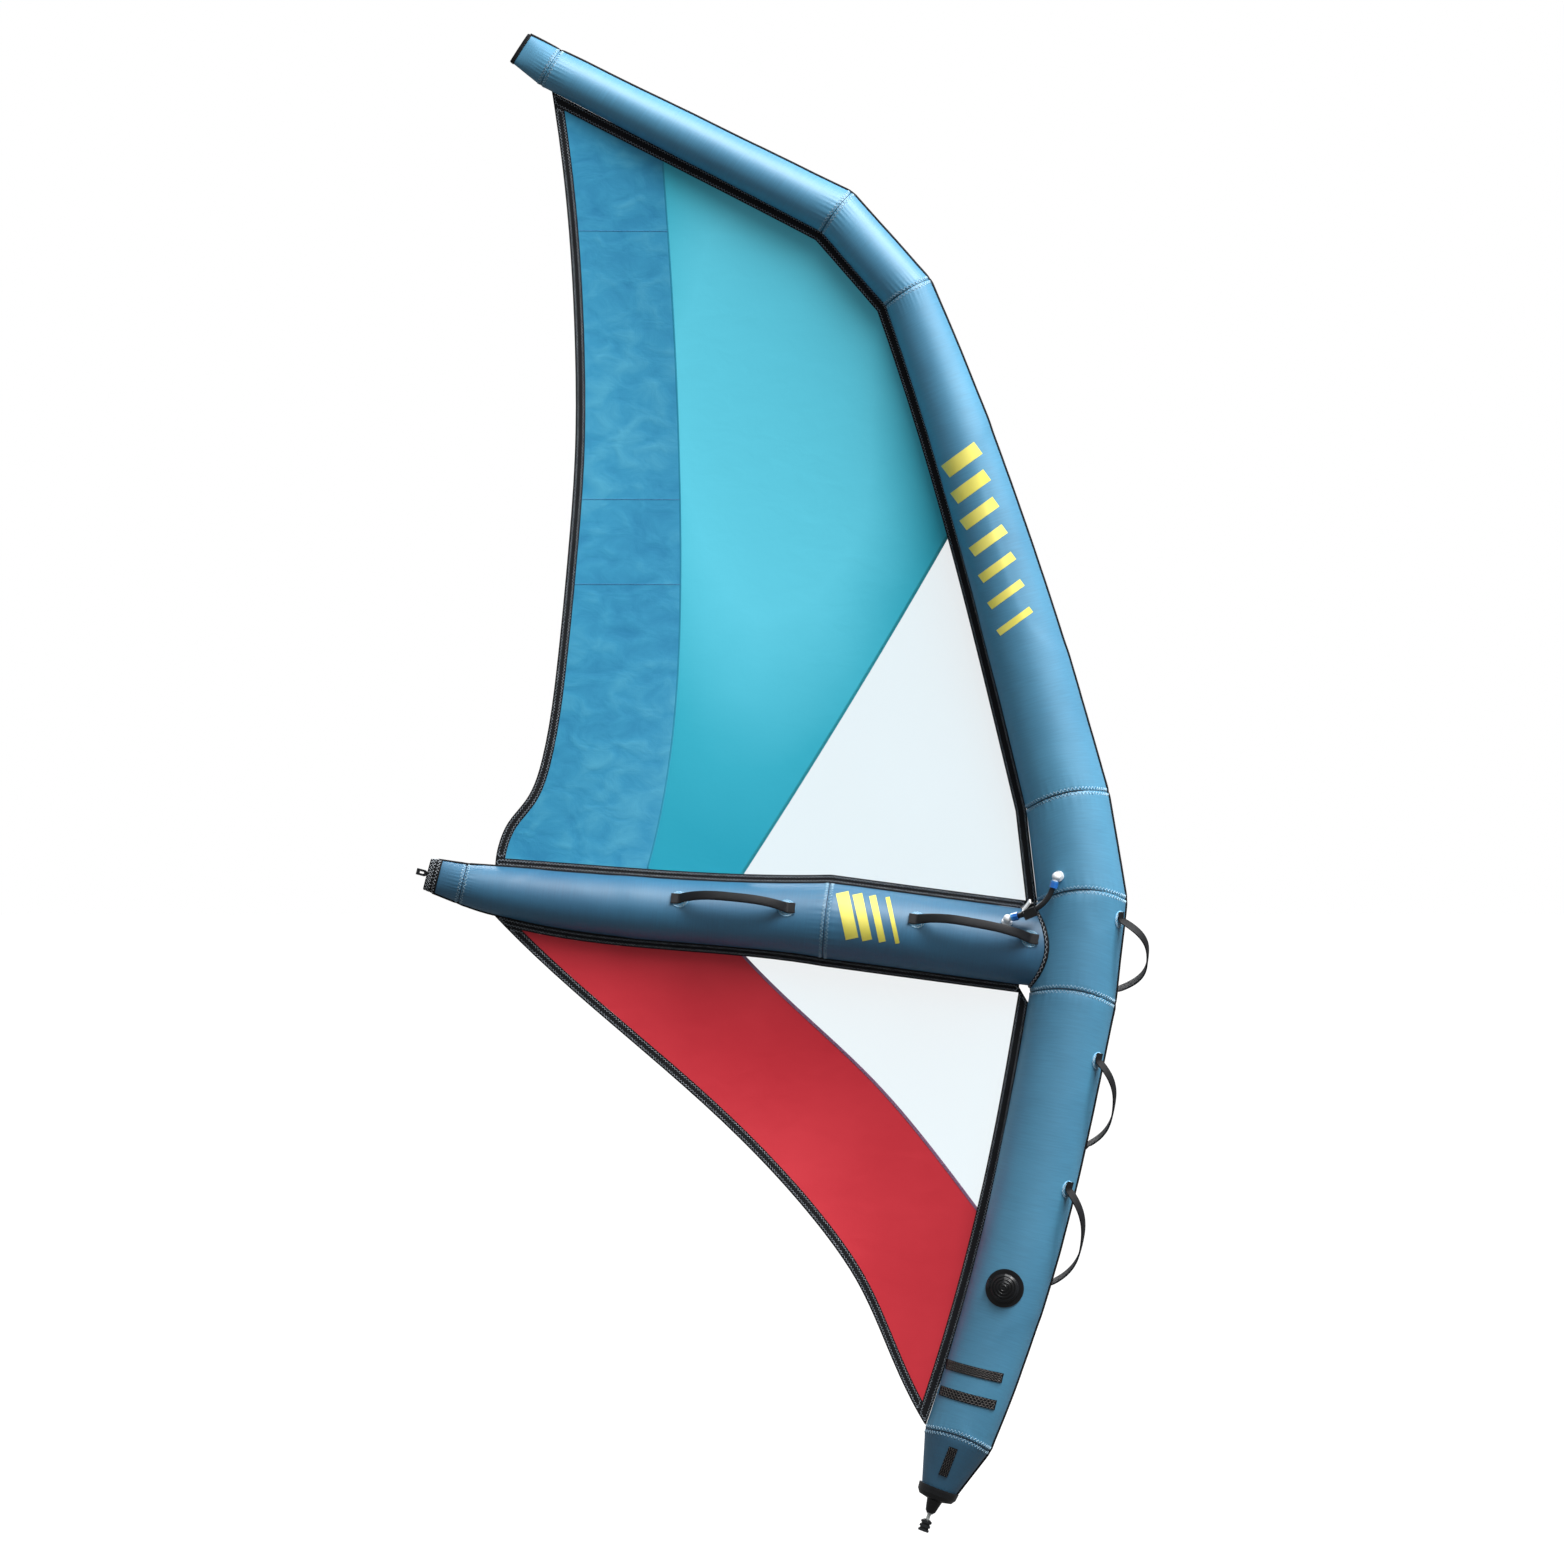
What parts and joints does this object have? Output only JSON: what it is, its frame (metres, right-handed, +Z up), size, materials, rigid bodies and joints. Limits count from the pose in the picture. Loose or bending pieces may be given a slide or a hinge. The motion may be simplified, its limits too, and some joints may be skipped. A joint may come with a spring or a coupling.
{
  "type": "windsurf sail rig",
  "caption": "Inflatable windsurf rig: blue air-tube mast and boom, turquoise, clear and red sail panels, webbing handles and a threaded foot.",
  "frame": {"origin": "mouth of the threaded socket in the base plug, on the foot's axis", "axes": "+Z up along the sail, +X towards the leading edge, -Y the side that carries the valve and the hose"},
  "size_m": [1.7159, 0.2688, 3.5094],
  "materials": {
    "tube_blue": "satin coated sailcloth over an air tube",
    "tube_navy": "satin coated sailcloth over an air tube",
    "bladder_film": "clear urethane film",
    "leech_cloth": "mottled satin sailcloth",
    "turquoise_cloth": "thin satin sailcloth",
    "window_film": "clear film with a slight blue tint",
    "red_cloth": "satin sailcloth",
    "window_stitch": "seam tape",
    "tape_black": "woven edge tape with zigzag stitching",
    "webbing": "woven webbing",
    "valve_black": "moulded",
    "valve_skirt": "matte",
    "spring_steel": "wire",
    "fitting_white": "moulded",
    "collar_blue": "moulded",
    "hose_black": "satin",
    "clamp_black": "moulded",
    "clamp_white": "moulded",
    "pin_steel": "satin",
    "foot_black": "moulded",
    "tendon_urethane": "translucent urethane",
    "insert_brass": "turned"
  },
  "bodies": {
    "sail": {"mast_lower_sleeve": "tube_blue", "mast_middle_sleeve": "tube_blue", "mast_bend_sleeve": "tube_blue", "mast_head_sleeve": "tube_blue", "mast_tip_cap": "tube_blue", "boom_outer_sleeve": "tube_blue", "boom_tip_cap": "tube_blue", "mast_junction_sleeve": "tube_navy", "mast_shoulder_sleeve": "tube_navy", "boom_inner_sleeve": "tube_navy", "mast_foot_cone": "tube_navy", "mast_bladder": "bladder_film", "boom_bladder": "bladder_film", "upper_leech_panel": "leech_cloth", "upper_main_panel": "turquoise_cloth", "upper_window": "window_film", "lower_window": "window_film", "lower_main_panel": "red_cloth", "upper_window_seam": "window_stitch", "lower_window_seam": "window_stitch", "upper_leech_tape": "tape_black", "upper_luff_tape": "tape_black", "upper_foot_tape": "tape_black", "lower_leech_tape": "tape_black", "lower_luff_tape": "tape_black", "lower_head_tape": "tape_black", "leading_edge_piping": "tape_black", "boom_junction_binding": "webbing", "boom_end_binding": "webbing", "mast_tip_binding": "webbing", "boom_end_loop": "webbing", "foot_webbing_strips": "webbing", "boom_handle_outer_front": "webbing", "boom_handle_outer_back": "webbing", "boom_handle_inner_front": "webbing", "boom_handle_inner_back": "webbing", "mast_handle_upper": "webbing", "mast_handle_middle": "webbing", "mast_handle_lower": "webbing", "handle_patches": "webbing", "valve_body": "valve_black", "valve_flange": "valve_skirt", "valve_spring": "spring_steel", "mast_hose_fitting": "fitting_white", "boom_hose_fitting": "fitting_white", "air_hose": "hose_black", "hose_clamp_body": "clamp_black", "hose_clamp_pin": "pin_steel", "foot_cup": "foot_black"},
    "foot_swivel": {"foot_pin": "pin_steel", "foot_tendon": "tendon_urethane"},
    "base": {"base_plug": "foot_black", "base_insert": "insert_brass"},
    "valve_cap": {"valve_cap": "valve_black"},
    "valve_plunger": {"valve_plunger": "valve_black"},
    "clamp_lever": {"hose_clamp_lever": "clamp_white"},
    "mast_collar": {"mast_hose_collar": "collar_blue"},
    "boom_collar": {"boom_hose_collar": "collar_blue"}
  },
  "joints": [
    {"name": "foot_turn", "type": "hinge", "parent": "sail", "child": "foot_swivel", "pos_m": [0, 0, 0], "axis": [0.3502, 0, 0.9367], "continuous": true},
    {"name": "tendon_bend", "type": "hinge", "parent": "foot_swivel", "child": "base", "pos_m": [0.01296, 0, 0.03466], "axis": [0, 1, 0], "range_deg": [-75, 75], "stiffness_Nm_per_rad": 1.5, "deforming": ["foot_tendon"]},
    {"name": "cap_hinge", "type": "hinge", "parent": "sail", "child": "valve_cap", "pos_m": [0.15163, -0.09512, 0.58488], "axis": [-0.3178, 0, -0.9482], "range_deg": [0, 135]},
    {"name": "plunger_press", "type": "slide", "parent": "sail", "child": "valve_plunger", "axis": [0.1155, 0.9925, -0.0387], "range_m": [0, 0.006], "stiffness_N_per_m": 400, "springref_m": -0.004, "deforming": ["valve_spring"]},
    {"name": "lever_close", "type": "hinge", "parent": "sail", "child": "clamp_lever", "pos_m": [0.23229, -0.09845, 1.45339], "axis": [0.0015, -0.8769, -0.4806], "range_deg": [0, 30]},
    {"name": "mast_collar_turn", "type": "hinge", "parent": "sail", "child": "mast_collar", "pos_m": [0.30897, -0.10428, 1.53236], "axis": [-0.2672, 0.0262, -0.9633], "range_deg": [0, 90]},
    {"name": "boom_collar_turn", "type": "hinge", "parent": "sail", "child": "boom_collar", "pos_m": [0.19592, -0.07823, 1.43411], "axis": [0.9038, -0.3578, 0.2348], "range_deg": [0, 90]}
  ]
}
